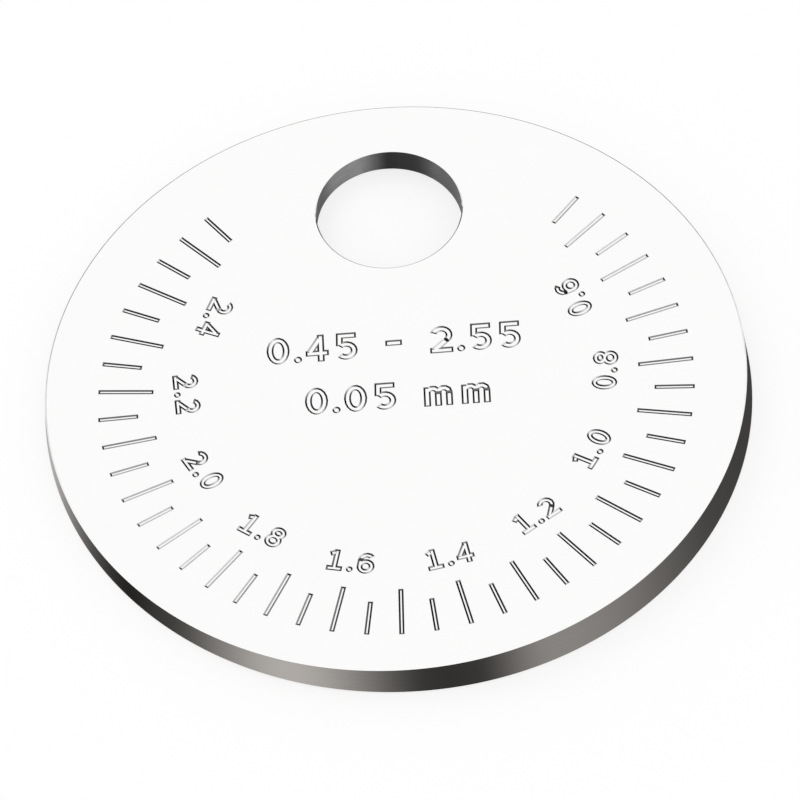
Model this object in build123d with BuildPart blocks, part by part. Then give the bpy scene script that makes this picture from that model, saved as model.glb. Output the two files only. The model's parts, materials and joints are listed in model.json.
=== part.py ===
from build123d import *
import os
from math import atan, atan2, cos, degrees, hypot, radians, sin, tan

# Spark plug gap gauge: a round key-ring gauge struck from one piece of steel.
# The underside lies flat on z = 0 and the marked face slopes gently above it.
# The origin is under the middle of the disc and +Y points to the key-ring hole. Millimetres.

# Disc
disc_diameter = 32.0  # across the underside, its widest place
thick_edge = 2.0
thin_edge = 0.98
thick_side = -16.0  # direction of the thickest place on the rim, degrees from +X
wall_draft = 4.4  # degrees, the only way in which the wall isn't square to the marked face
edge_break = 0.06

# Key-ring hole
hole_diameter = 6.65
hole_margin = 2.68  # metal left between the hole and the underside's rim

# Engraving, as a pointed cutter leaves it: a flat floor between sloping sides
engraving_depth = 0.02
side_run = 0.085  # width of one sloping side, seen from above
curve_step = 20.0  # degrees, since the engraving machine draws small curves in short straight moves
move_margin = 1.2  # shortest move on a floor's inner curve, in sloping sides

# Scale round the dial, in millimetres of spark plug gap
first_gap = 0.45
gap_step = 0.05
graduation_count = 43
scale_span = 282.0  # degrees from the first graduation to the last, the rest lies round the hole
dial_drop = 0.45  # the dial is struck this far below the middle of the marked face
dial_turn = 1.1  # and this far clockwise, in degrees
scale_margin = 2.5  # disc radius less the dial's radius

# Graduations, as shares of the dial's radius
long_share = 0.1853
short_share = 0.1344
graduation_width_share = 0.0174

# Numerals at every fourth graduation, to be read from the rim, as shares of the dial's radius
numeral_aim_share = 0.09  # their tops point this far above the dial's centre
numeral_drop_share = 0.0075  # and the middle of their ring lies this far below it
first_numeral = 0.6
numeral_step = 0.2
numeral_count = 10
numeral_height_share = 0.0868
numeral_width_share = 0.0603
numeral_stroke_share = 0.0199
numeral_point_share = 0.0235
numeral_pitch_share = 0.0765
numeral_gap_share = 0.0684  # feet of the numerals to the long graduations

# The scale's range and its smallest step, in two lines in the middle of the dial
legend_height_share = 0.1132
legend_width_share = 0.0779
legend_stroke_share = 0.0235
legend_point_share = 0.0279
legend_pitch_share = 0.0971
range_rise_share = 0.2059  # middle of the upper line above the dial's centre
step_rise_share = -0.0147

# Share of the pitch that a sign takes, where it isn't a whole one
advance = {".": 0.35, " ": 0.7, "-": 0.9, "m": 1.3}

# Worked out from the sizes above
disc_radius = disc_diameter / 2
slope = (thick_edge - thin_edge) / disc_diameter
slope_x = slope * cos(radians(thick_side))
slope_y = slope * sin(radians(thick_side))
middle_thickness = (thick_edge + thin_edge) / 2
blank_height = thick_edge * 1.2
hole_y = disc_radius - hole_margin - hole_diameter / 2
engraving_draft = degrees(atan(side_run / engraving_depth))

# The wall leans with the marked face, so the face is smaller than the underside and off its centre
thick_run = thick_edge * tan(radians(wall_draft) + atan(slope))
thin_run = thin_edge * tan(radians(wall_draft) - atan(slope))
face_radius = (disc_radius - (thick_run + thin_run) / 2) / cos(atan(slope))
face_shift = (thin_run - thick_run) / 2
blank_radius = face_radius + blank_height * tan(radians(wall_draft))

scale_radius = disc_radius - scale_margin
graduation_angle = scale_span / (graduation_count - 1)
first_angle = 180 - scale_span / 2 + dial_turn
last_gap = first_gap + (graduation_count - 1) * gap_step
long_graduation = scale_radius * long_share
short_graduation = scale_radius * short_share
graduation_width = scale_radius * graduation_width_share
numeral_height = scale_radius * numeral_height_share
numeral_feet = scale_radius * (1 - numeral_gap_share) - long_graduation
numeral_radius = numeral_feet - numeral_height / 2

face_slope = Vector(-slope_x, -slope_y, 1)
face_right = Vector(1, 0, slope_x)
face_middle = Vector(
    face_shift * cos(radians(thick_side)),
    face_shift * sin(radians(thick_side)),
    middle_thickness + slope * face_shift,
)
face_plane = Plane(origin=face_middle, x_dir=face_right, z_dir=face_slope)
dial_plane = Plane(
    origin=face_plane.from_local_coords((0, -dial_drop)),
    x_dir=face_right,
    z_dir=face_slope,
)


def on_dial(radius, angle):
    """A place on the dial at a clockwise angle from the hole, turned to be read from the rim."""
    x, y = radius * sin(radians(angle)), radius * cos(radians(angle))
    return Location((x, y, 0), (0, 0, 180 - angle))


def numeral_place(angle):
    """The middle of the numeral at a clockwise angle from the hole, turned towards the numerals' aim."""
    x = numeral_radius * sin(radians(angle))
    y = numeral_radius * cos(radians(angle)) - scale_radius * numeral_drop_share
    return Location((x, y, 0), (0, 0, degrees(atan2(x, scale_radius * numeral_aim_share - y))))


def gap_angle(gap):
    """The clockwise angle of the graduation for one spark plug gap."""
    return first_angle + (gap - first_gap) / gap_step * graduation_angle


def curve_points(x, y, radius_x, radius_y, start, sweep, longest_step=curve_step):
    """Points along a curved move, one for each step of the engraving machine."""
    steps = round(abs(sweep) / longest_step)
    angles = [radians(start + sweep * step / steps) for step in range(steps + 1)]
    return [(x + radius_x * cos(angle), y + radius_y * sin(angle)) for angle in angles]


def line(x1, y1, x2, y2):
    """A straight stroke from end to end."""

    def draw(width):
        turn = degrees(atan2(y2 - y1, x2 - x1))
        with Locations(((x1 + x2) / 2, (y1 + y2) / 2)):
            Rectangle(hypot(x2 - x1, y2 - y1), width, rotation=turn)

    return draw


def bend(x, y, radius, start, sweep):
    """A curved stroke round a centre, from a start angle through a sweep."""

    def draw(width):
        outer_radius, inner_radius = radius + width / 2, radius - width / 2
        shortest_step = degrees(move_margin * side_run / (inner_radius + side_run))
        step = max(curve_step, shortest_step)
        outer = curve_points(x, y, outer_radius, outer_radius, start, sweep, step)
        inner = curve_points(x, y, inner_radius, inner_radius, start, sweep, step)
        Polygon(*outer, *reversed(inner), align=None)

    return draw


def ring(x, y, wide, high):
    """A closed oval stroke with the given outer size."""

    def draw(width):
        Polygon(*curve_points(x, y, wide / 2, high / 2, 0, 360)[:-1], align=None)
        inner = curve_points(x, y, wide / 2 - width, high / 2 - width, 0, 360)[:-1]
        Polygon(*inner, align=None, mode=Mode.SUBTRACT)

    return draw


def point(x, y, size):
    """A decimal point."""

    def draw(width):
        Polygon(*curve_points(x, y, size / 2, size / 2, 0, 360)[:-1], align=None)

    return draw


def sign_strokes(sign, wide, high, width, point_size):
    """The strokes of one sign about its middle, each drawn later with the given width."""
    right, top = (wide - width) / 2, (high - width) / 2
    if sign == "0":
        return [ring(0, 0, wide, high)]
    if sign == "1":
        return [
            line(0, -high / 2, 0, high / 2),
            line(-wide * 0.45, -top, wide * 0.45, -top),
            line(0, top, -wide * 0.36, high * 0.27),
        ]
    if sign == "2":
        return [
            bend(0, top - right, right, -49, 210),
            line(right * 0.66, top - right * 1.75, -right, -top),
            line(-wide / 2, -top, wide / 2, -top),
        ]
    if sign == "3":
        return [
            bend(0, right - top, right, -150, 240),
            line(right * 0.85, top, 0, right * 2 - top),
            line(-wide * 0.45, top, wide * 0.45, top),
        ]
    if sign == "4":
        return [
            line(wide * 0.16, -high / 2, wide * 0.16, high / 2),
            line(-wide / 2, -high * 0.18, wide / 2, -high * 0.18),
            line(wide * 0.16, top, -right, -high * 0.18),
        ]
    if sign == "5":
        return [
            bend(0, right - top, right, -140, 280),
            line(-right * 0.8, top * 0.05, -right * 0.75, high / 2),
            line(-right * 0.75 - width / 2, top, wide * 0.45, top),
        ]
    if sign == "6":
        return [
            ring(0, (wide - high) / 2, wide, wide),
            line(-right, right - top, -right, top - right),
            bend(0, top - right, right, 40, 140),
        ]
    if sign == "7":
        return [
            line(-wide / 2, top, wide / 2, top),
            line(right, top, -right * 0.3, -high / 2),
        ]
    if sign == "8":
        upper, lower = (high + width) * 0.47, (high + width) * 0.53
        return [
            ring(0, (high - upper) / 2, wide * 0.92, upper),
            ring(0, (lower - high) / 2, wide, lower),
        ]
    if sign == "9":
        return [
            ring(0, (high - wide) / 2, wide, wide),
            line(right, top - right, right, right - top),
            bend(0, right - top, right, 220, 140),
        ]
    if sign == "m":
        side = (wide * 1.25 - width) / 2
        return [
            line(-side, -high / 2, -side, high * 0.22),
            line(0, -high / 2, 0, 0),
            line(side, -high / 2, side, 0),
            bend(-side / 2, 0, side / 2, 0, 180),
            bend(side / 2, 0, side / 2, 0, 180),
        ]
    if sign == "-":
        return [line(-wide * 0.36, 0, wide * 0.36, 0)]
    return [point(0, (point_size - high) / 2, point_size)]


def lettering(text, middle, shares):
    """The place, strokes and stroke width of every sign in a text that reads along its middle's X."""
    wide, high, width, point_size, pitch = [scale_radius * share for share in shares]
    advances = [advance.get(sign, 1) for sign in text]
    steps = [pitch * (one + other) / 2 for one, other in zip(advances, advances[1:])]
    signs = []
    for number, sign in enumerate(text):
        across = sum(steps[:number]) - sum(steps) / 2
        if sign != " ":
            place = middle * Location((across, 0, 0))
            signs.append((place, sign_strokes(sign, wide, high, width, point_size), width))
    return signs


def numerals():
    """Every sign of the numerals round the dial."""
    shares = [
        numeral_width_share,
        numeral_height_share,
        numeral_stroke_share,
        numeral_point_share,
        numeral_pitch_share,
    ]
    signs = []
    for number in range(numeral_count):
        gap = first_numeral + number * numeral_step
        signs += lettering(f"{gap:.1f}", numeral_place(gap_angle(gap)), shares)
    return signs


def legend():
    """Every sign of the two lines in the middle of the dial."""
    shares = [
        legend_width_share,
        legend_height_share,
        legend_stroke_share,
        legend_point_share,
        legend_pitch_share,
    ]
    range_middle = Location((0, scale_radius * range_rise_share, 0))
    step_middle = Location((0, scale_radius * step_rise_share, 0))
    return [
        *lettering(f"{first_gap:.2f} - {last_gap:.2f}", range_middle, shares),
        *lettering(f"{gap_step:.2f} mm", step_middle, shares),
    ]


with BuildPart() as gauge_disc:
    # Blank, widening below the marked face and cut off flat by the underside
    with Locations(Location(face_plane)):
        Cone(blank_radius, face_radius, blank_height, align=(Align.CENTER, Align.CENTER, Align.MAX))
    split(bisect_by=Plane.XY, keep=Keep.TOP)

    # Key-ring hole, then all four round edges broken
    with BuildSketch():
        with Locations((0, hole_y)):
            Circle(hole_diameter / 2)
    extrude(amount=blank_height, mode=Mode.SUBTRACT)
    chamfer(gauge_disc.edges().filter_by(GeomType.LINE, reverse=True), length=edge_break)

    # Graduations, long at every tenth of a millimetre
    with BuildSketch(dial_plane):
        for number in range(graduation_count):
            length = long_graduation if number % 2 else short_graduation
            angle = first_angle + number * graduation_angle
            with Locations(on_dial(scale_radius - length / 2, angle)):
                Rectangle(graduation_width, length)
    extrude(amount=-engraving_depth, taper=engraving_draft, mode=Mode.SUBTRACT)

    # Numerals and legend, one stroke of every sign at a time, as strokes of a sign cross
    signs = [*numerals(), *legend()]
    for stroke in range(max(len(strokes) for place, strokes, width in signs)):
        with BuildSketch(dial_plane):
            for place, strokes, width in signs:
                if stroke < len(strokes):
                    with Locations(place):
                        strokes[stroke](width)
        extrude(amount=-engraving_depth, taper=engraving_draft, mode=Mode.SUBTRACT)

gauge_disc.part.label = "gauge_disc"
os.makedirs("parts", exist_ok=True)
export_step(gauge_disc.part, "parts/gauge_disc.step")
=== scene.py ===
import json
from math import cos, hypot, pi, radians, sin

import bmesh
import bpy
from mathutils import Matrix, Vector


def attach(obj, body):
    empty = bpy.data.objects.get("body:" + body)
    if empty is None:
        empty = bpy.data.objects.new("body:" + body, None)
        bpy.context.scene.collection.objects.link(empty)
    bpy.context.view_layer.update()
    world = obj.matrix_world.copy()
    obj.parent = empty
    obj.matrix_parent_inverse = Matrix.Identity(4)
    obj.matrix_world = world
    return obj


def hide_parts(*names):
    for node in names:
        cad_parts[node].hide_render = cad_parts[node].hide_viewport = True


# Spark plug gap gauge: one polished disc with an engraved dial, on a white table. Metres, +Z up.
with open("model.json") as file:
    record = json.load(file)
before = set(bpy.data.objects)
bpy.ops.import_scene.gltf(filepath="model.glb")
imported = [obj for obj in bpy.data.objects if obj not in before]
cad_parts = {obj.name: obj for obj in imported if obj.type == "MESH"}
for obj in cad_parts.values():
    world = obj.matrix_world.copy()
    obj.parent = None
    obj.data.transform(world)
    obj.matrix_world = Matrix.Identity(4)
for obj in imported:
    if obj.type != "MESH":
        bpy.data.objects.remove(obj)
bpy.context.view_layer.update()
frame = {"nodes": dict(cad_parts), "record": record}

# Places on the disc, as on the solid
disc_middle = Vector((0, 0, 0))
disc_radius = 0.016
face_middle = Vector((-0.0000837, 0.000024, 0.0014872))
face_up = Vector((-0.03064, 0.00879, 1)).normalized()
wall_draft = radians(4.4)
edge_break = 0.00006
hole = next(mount for mount in frame["record"]["mounts"] if mount["name"] == "key_ring_hole")
hole_middle = Vector(hole["pos_m"])
hole_radius = hole["dims"]["r_mm"] / 1000

# Round edges: how they are found on the solid's mesh, and how often each of their chords is cut
rim_band = (disc_radius - 0.0004, disc_radius + 0.0001)
hole_band = (hole_radius - 0.00001, hole_radius + edge_break * 1.2)
same_round = 0.00002
longest_chord = 0.0018
chord_cuts = 3
merge_distance = 0.0000001
crease = radians(8)

# Kinds of surface: how far from the hole and the rim they reach, and the upward share of their normals
hole_reach = hole_radius + edge_break * 1.5
rim_reach = disc_radius * 0.95
face_share = 0.99
broken_edge_share = 0.5
wall_share = 0.3
back_share = -0.9

# Kinds of surface in the order of the disc's material slots
FACE, ENGRAVED, RIM, HOLE, BACK = range(5)

# Table and studio, with heights as angles above the horizon
table_size = 2.0
table_drop = 0.00002
table_glow = 0.75
dome_top = radians(16)
dome_foot = radians(-38)
darkest_dome = 0.004
panel_tops = radians(-37)
full_panels = radians(-42)
light_between_panels = 0.05


def disc_mesh(solid):
    """The solid's mesh, merged, with its round edges cut finer and a material for each kind of surface."""
    shape = bmesh.new()
    shape.from_mesh(solid.data)
    bmesh.ops.remove_doubles(shape, verts=shape.verts, dist=merge_distance)
    refine_round_edges(shape, disc_middle, rim_band)
    refine_round_edges(shape, hole_middle, hole_band)
    renew_outer_wall(shape)
    for face in shape.faces:
        face.smooth = True
        face.material_index = kind_of_surface(face)
    for edge in shape.edges:
        edge.smooth = edge.is_manifold and edge.calc_face_angle(0) < crease
    mesh = bpy.data.meshes.new("gauge_disc_polished")
    shape.to_mesh(mesh)
    shape.free()
    smooth_walls(mesh)
    return mesh


def refine_round_edges(shape, middle, band):
    """Cuts each edge along a round finer and puts the new corners back out on the round."""
    nearest, furthest = band
    reach = shape.verts.layers.float.new("reach")
    for vertex in shape.verts:
        vertex[reach] = from_middle(vertex.co, middle)
    round_edges = []
    for edge in shape.edges:
        first, last = [vertex[reach] for vertex in edge.verts]
        in_band = nearest < min(first, last) and max(first, last) < furthest
        if in_band and abs(first - last) < same_round and edge.calc_length() < longest_chord:
            round_edges.append(edge)
    cut = bmesh.ops.subdivide_edges(shape, edges=round_edges, cuts=chord_cuts, use_grid_fill=True)
    for vertex in cut["geom_inner"]:
        if isinstance(vertex, bmesh.types.BMVert):
            across = vertex.co - middle
            across.z = 0
            vertex.co += across.normalized() * (vertex[reach] - across.length)
    shape.verts.layers.float.remove(reach)


def renew_outer_wall(shape):
    """Makes the outer wall anew as upright strips between its two rings, with no corners in between."""
    wall = [face for face in shape.faces if abs(face.normal.z) < wall_share and is_by_rim(face)]
    bmesh.ops.delete(shape, geom=wall, context="FACES")
    rings = [edge for edge in shape.edges if edge.is_boundary]
    strips = bmesh.ops.bridge_loops(shape, edges=rings)["faces"]
    bmesh.ops.recalc_face_normals(shape, faces=shape.faces)
    bmesh.ops.triangulate(shape, faces=strips, quad_method="SHORT_EDGE")


def kind_of_surface(face):
    """The face takes its broken edges along, and the marks' floors are as bright as the face."""
    upward = face.normal.z
    if upward > face_share or upward > broken_edge_share and (is_by_hole(face) or is_by_rim(face)):
        return FACE
    if upward < back_share:
        return BACK
    if is_by_hole(face):
        return HOLE
    return RIM if is_by_rim(face) else ENGRAVED


def is_by_hole(face):
    return from_middle(face.calc_center_median(), hole_middle) < hole_reach


def is_by_rim(face):
    return from_middle(face.calc_center_median(), disc_middle) > rim_reach


def from_middle(place, middle):
    return hypot(place.x - middle.x, place.y - middle.y)


def smooth_walls(mesh):
    """Gives the outer wall and the hole's wall the normals of their true rounds."""
    normal_of = {RIM: outer_normal, HOLE: hole_normal}
    normals = [corner.vector.copy() for corner in mesh.corner_normals]
    for face in mesh.polygons:
        if face.material_index in normal_of and abs(face.normal.z) < wall_share:
            for corner in face.loop_indices:
                place = mesh.vertices[mesh.loops[corner].vertex_index].co
                normals[corner] = normal_of[face.material_index](place)
    mesh.normals_split_custom_set(normals)


def outer_normal(place):
    """Square to the marked face's own up, apart from the wall's draft."""
    from_axis = place - face_middle
    outward = (from_axis - face_up * from_axis.dot(face_up)).normalized()
    return outward * cos(wall_draft) + face_up * sin(wall_draft)


def hole_normal(place):
    inward = hole_middle - place
    inward.z = 0
    return inward.normalized()


def node(tree, kind, **sockets):
    """A shader node with values or links on its named or numbered inputs."""
    made = tree.nodes.new("ShaderNode" + kind)
    for name, value in sockets.items():
        wire(tree, made, name, value)
    return made


def wire(tree, made, name, value):
    socket = made.inputs[int(name[1:]) if name[1:].isdigit() else name.replace("_", " ")]
    if isinstance(value, bpy.types.NodeSocket):
        tree.links.new(value, socket)
    else:
        socket.default_value = value


def math_node(tree, operation, *values):
    made = tree.nodes.new("ShaderNodeMath")
    made.operation = operation
    for number, value in enumerate(values):
        wire(tree, made, f"i{number}", value)
    return made.outputs[0]


def vector_node(tree, operation, *values):
    made = tree.nodes.new("ShaderNodeVectorMath")
    made.operation = operation
    for number, value in enumerate(values):
        wire(tree, made, f"i{number}", value)
    return made.outputs["Value" if operation == "DOT_PRODUCT" else "Vector"]


def ramp(tree, value, low, high, low_result=0.0, high_result=1.0):
    """A soft step from one result to the other as the value goes from low to high."""
    made = tree.nodes.new("ShaderNodeMapRange")
    made.interpolation_type = "SMOOTHSTEP"
    wire(tree, made, "Value", value)
    wire(tree, made, "From_Min", low)
    wire(tree, made, "From_Max", high)
    wire(tree, made, "To_Min", low_result)
    wire(tree, made, "To_Max", high_result)
    return made.outputs[0]


def polish_group():
    """Fine polishing lines and soft clouds, which every metal of the disc uses with its own values."""
    group = bpy.data.node_groups.new("polish_marks", "ShaderNodeTree")
    for name, kind, way in (
        ("Tone", "NodeSocketColor", "INPUT"),
        ("Roughness", "NodeSocketFloat", "INPUT"),
        ("Line Scale", "NodeSocketVector", "INPUT"),
        ("Turn", "NodeSocketFloat", "INPUT"),
        ("Tone Change", "NodeSocketFloat", "INPUT"),
        ("Roughness Change", "NodeSocketFloat", "INPUT"),
        ("Tone", "NodeSocketColor", "OUTPUT"),
        ("Roughness", "NodeSocketFloat", "OUTPUT"),
        ("Height", "NodeSocketFloat", "OUTPUT"),
    ):
        group.interface.new_socket(name, in_out=way, socket_type=kind)
    given = group.nodes.new("NodeGroupInput").outputs
    place = node(group, "TexCoord").outputs["Object"]
    turned = node(group, "VectorRotate", Vector=place, Angle=given["Turn"]).outputs[0]
    stretched = vector_node(group, "MULTIPLY", turned, given["Line Scale"])
    lines = node(group, "TexNoise", Vector=stretched, Scale=1.0, Detail=4.0, Roughness=0.6).outputs[0]
    clouds = node(group, "TexNoise", Vector=place, Scale=260.0, Detail=3.0, Roughness=0.5).outputs[0]
    line_share = math_node(group, "MULTIPLY", lines, 0.7)
    cloud_share = math_node(group, "MULTIPLY", clouds, 0.3)
    uneven = ramp(group, math_node(group, "ADD", line_share, cloud_share), 0.3, 0.7, -1.0, 1.0)

    def varied(change):
        return math_node(group, "ADD", math_node(group, "MULTIPLY", uneven, given[change]), 1.0)

    tone = node(group, "MixRGB", Fac=1.0, Color1=given["Tone"], Color2=varied("Tone Change"))
    tone.blend_type = "MULTIPLY"
    roughness = math_node(group, "MULTIPLY", given["Roughness"], varied("Roughness Change"))
    result = group.nodes.new("NodeGroupOutput")
    wire(group, result, "i0", tone.outputs[0])
    wire(group, result, "i1", roughness)
    wire(group, result, "i2", lines)
    return group


def metal(name, tone, roughness, line_scale, tone_change, roughness_change, bump, turn=0, metallic=1.0):
    """A metal whose colour, roughness and fine relief vary along its polishing lines."""
    material = bpy.data.materials.new(name)
    material.use_nodes = True
    tree = material.node_tree
    marks = tree.nodes.new("ShaderNodeGroup")
    marks.node_tree = polish
    wire(tree, marks, "Tone", tone(tree) if callable(tone) else (*tone, 1))
    wire(tree, marks, "Roughness", roughness)
    wire(tree, marks, "Line_Scale", line_scale)
    wire(tree, marks, "Turn", radians(turn))
    wire(tree, marks, "Tone_Change", tone_change)
    wire(tree, marks, "Roughness_Change", roughness_change)
    relief = node(tree, "Bump", Strength=bump, Distance=0.00001, Height=marks.outputs["Height"])
    shader = tree.nodes["Principled BSDF"]
    shader.inputs["Metallic"].default_value = metallic
    wire(tree, shader, "Base_Color", marks.outputs["Tone"])
    wire(tree, shader, "Roughness", marks.outputs["Roughness"])
    wire(tree, shader, "Normal", relief.outputs[0])
    return material


def level_way(degrees):
    """A level direction, counted from +X towards +Y."""
    return (cos(radians(degrees)), sin(radians(degrees)), 0)


def engraved_painted_shading(tree):
    """Black sides, painted paler where they face 126 degrees or the opposite way, to match the photo."""
    # Painted shade and painted reflection: the sides are near black, darkest where they face the hole, and
    # paler where they face 126 degrees or the opposite way.
    normal = node(tree, "TexCoord").outputs["Normal"]
    facing = vector_node(tree, "NORMALIZE", vector_node(tree, "MULTIPLY", normal, (1, 1, 0)))
    share = vector_node(tree, "DOT_PRODUCT", facing, level_way(126))
    share = math_node(tree, "MULTIPLY", share, share)
    towards_hole = node(tree, "SeparateXYZ", Vector=facing).outputs["Y"]

    def by_side(from_hole_side, to_hole_side):
        return ramp(tree, towards_hole, -0.15, 0.15, from_hole_side, to_hole_side)

    paler = math_node(tree, "POWER", share, by_side(2.8, 4.5))
    paler = math_node(tree, "MULTIPLY", paler, by_side(0.66, 0.57))
    return math_node(tree, "ADD", paler, by_side(0.02, 0.001))


def hole_tone(tree):
    """The hole's wall, with the photo's shading painted on: darkest at 81 degrees and palest at 121."""
    place = vector_node(tree, "SUBTRACT", node(tree, "TexCoord").outputs["Object"], hole_middle)
    flat = vector_node(tree, "MULTIPLY", place, (1 / hole_radius, 1 / hole_radius, 0))
    to_darkest = vector_node(tree, "DOT_PRODUCT", flat, level_way(81))
    to_palest = vector_node(tree, "DOT_PRODUCT", flat, level_way(121))
    dark = ramp(tree, to_darkest, 0.82, 0.997, low_result=0.235, high_result=0.042)
    bright = ramp(tree, to_palest, 0.84, 0.99, low_result=0.0, high_result=0.19)
    return math_node(tree, "ADD", dark, bright)


polish = polish_group()
polished_face = metal(
    "polished_face",
    tone=(0.965, 0.965, 0.96),
    roughness=0.12,
    line_scale=(500, 16000, 500),
    turn=24,
    tone_change=0.006,
    roughness_change=0.3,
    bump=0.02,
)
# The marks' sides, with painted shade and a painted reflection in their colour
marks_painted_shading = metal(
    "marks_painted_shading",
    tone=engraved_painted_shading,
    roughness=0.3,
    line_scale=(6000, 6000, 6000),
    tone_change=0.1,
    roughness_change=0.2,
    bump=0.05,
)
bright_rim = metal(
    "bright_rim",
    tone=(0.85, 0.8, 0.755),
    roughness=0.1,
    line_scale=(250, 250, 9000),
    tone_change=0.03,
    roughness_change=0.08,
    bump=0.0,
)
punched_hole = metal(
    "punched_hole",
    tone=hole_tone,
    roughness=0.5,
    line_scale=(2500, 2500, 9000),
    tone_change=0.1,
    roughness_change=0.2,
    bump=0.1,
    metallic=0.35,
)
lapped_back = metal(
    "lapped_back",
    tone=(0.88, 0.875, 0.86),
    roughness=0.24,
    line_scale=(700, 12000, 700),
    turn=-35,
    tone_change=0.06,
    roughness_change=0.4,
    bump=0.1,
)

# Disc
disc = bpy.data.objects.new("gauge_disc_polished", disc_mesh(frame["nodes"]["gauge_disc"]))
bpy.context.scene.collection.objects.link(disc)
for finish in (polished_face, marks_painted_shading, bright_rim, punched_hole, lapped_back):
    disc.data.materials.append(finish)
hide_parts("gauge_disc")
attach(disc, "root")

# Table, seen as white from above and see-through from below
table_shape = bmesh.new()
bmesh.ops.create_grid(table_shape, x_segments=1, y_segments=1, size=table_size)
table_mesh = bpy.data.meshes.new("table")
table_shape.to_mesh(table_mesh)
table_shape.free()
table_mesh.transform(Matrix.Translation((0, 0, -table_drop)))
table = bpy.data.objects.new("table", table_mesh)
bpy.context.scene.collection.objects.link(table)
table.visible_glossy = False

table_white = bpy.data.materials.new("table_white")
table_white.use_nodes = True
tree = table_white.node_tree
tree.nodes.clear()
paper = node(tree, "BsdfDiffuse", Color=(0.9, 0.9, 0.9, 1))
glow = node(tree, "Emission", Color=(1, 1, 1, 1), Strength=1.0)
seen_by_camera = node(tree, "LightPath").outputs["Is Camera Ray"]
glow_share = math_node(tree, "MULTIPLY", seen_by_camera, table_glow)
above = node(tree, "MixShader", Fac=glow_share, i1=paper.outputs[0], i2=glow.outputs[0])
below = node(tree, "BsdfTransparent")
from_below = node(tree, "NewGeometry").outputs["Backfacing"]
both = node(tree, "MixShader", Fac=from_below, i1=above.outputs[0], i2=below.outputs[0])
node(tree, "OutputMaterial", Surface=both.outputs[0])
table_mesh.materials.append(table_white)

# Studio round the table: white to the eye. The metal mirrors neither that white nor the table, but a dome
# that is white on top and dark low down, and panels under it that are set to match the rim in the photo.
studio = bpy.data.worlds.new("studio")
bpy.context.scene.world = studio
studio.use_nodes = True
tree = studio.node_tree
tree.nodes.clear()
direction = node(tree, "SeparateXYZ", Vector=node(tree, "TexCoord").outputs["Generated"])
height = direction.outputs["Z"]
around = math_node(tree, "ARCTAN2", direction.outputs["Y"], direction.outputs["X"])
around = math_node(tree, "MULTIPLY", around, 180 / pi)


def panel(middle, left, right, strength):
    """An upright panel, or a gap if its strength is below zero, that fades to both sides. In degrees."""
    away = math_node(tree, "WRAP", math_node(tree, "SUBTRACT", around, middle), 180.0, -180.0)
    fade_in = ramp(tree, away, -left, 0.0)
    fade_out = ramp(tree, away, 0.0, right, 1.0, 0.0)
    return math_node(tree, "MULTIPLY", math_node(tree, "MULTIPLY", fade_in, fade_out), strength)


panels = light_between_panels
for light in (
    panel(108, 25, 54, 0.42),
    panel(231, 43, 43, 0.46),
    panel(313, 24, 68, 0.235),
    panel(12, 30, 38, 0.015),
    panel(172, 17, 17, -0.034),
    panel(214, 24, 26, -0.036),
    panel(281, 17, 17, -0.016),
):
    panels = math_node(tree, "ADD", panels, light)
dome = ramp(tree, height, sin(dome_foot), sin(dome_top), darkest_dome, 1.0)
under = ramp(tree, height, sin(full_panels), sin(panel_tops), 1.0, 0.0)
mirrored = math_node(tree, "ADD", dome, math_node(tree, "MULTIPLY", panels, under))
by_metal = node(tree, "LightPath").outputs["Is Glossy Ray"]
seen = node(tree, "MixRGB", Fac=by_metal, Color1=(1, 1, 1, 1), Color2=mirrored)
backdrop = node(tree, "Background", Color=seen.outputs[0], Strength=1.0)
node(tree, "OutputWorld", Surface=backdrop.outputs[0])

# Soft lamp over the far left of the table
lamp_data = bpy.data.lights.new("soft_lamp", "AREA")
lamp_data.shape = "DISK"
lamp_data.size = 0.5
lamp_data.energy = 1.0
lamp = bpy.data.objects.new("soft_lamp", lamp_data)
bpy.context.scene.collection.objects.link(lamp)
lamp.location = (-0.35, 0.35, 0.7)
lamp.rotation_euler = (-lamp.location).to_track_quat("-Z", "Y").to_euler()
lamp.visible_glossy = False

# Camera, with a very long lens
azimuth = radians(0.67)
elevation = radians(53.645)
distance = 0.6495
roll = radians(-3.654)
aim = Vector((0.00008, -0.0009, 0.0015))
level_part = Vector((sin(azimuth), -cos(azimuth), 0)) * cos(elevation)
away_from_disc = level_part + Vector((0, 0, sin(elevation)))
camera_data = bpy.data.cameras.new("camera")
camera_data.lens = 648.0
camera_data.sensor_width = 36.0
camera_data.clip_start = 0.01
camera_data.clip_end = 10.0
camera = bpy.data.objects.new("camera", camera_data)
bpy.context.scene.collection.objects.link(camera)
turn = away_from_disc.to_track_quat("Z", "Y").to_matrix() @ Matrix.Rotation(roll, 3, "Z")
camera.matrix_world = Matrix.Translation(aim + away_from_disc * distance) @ turn.to_4x4()
bpy.context.scene.camera = camera

bpy.context.scene.view_settings.view_transform = "Standard"
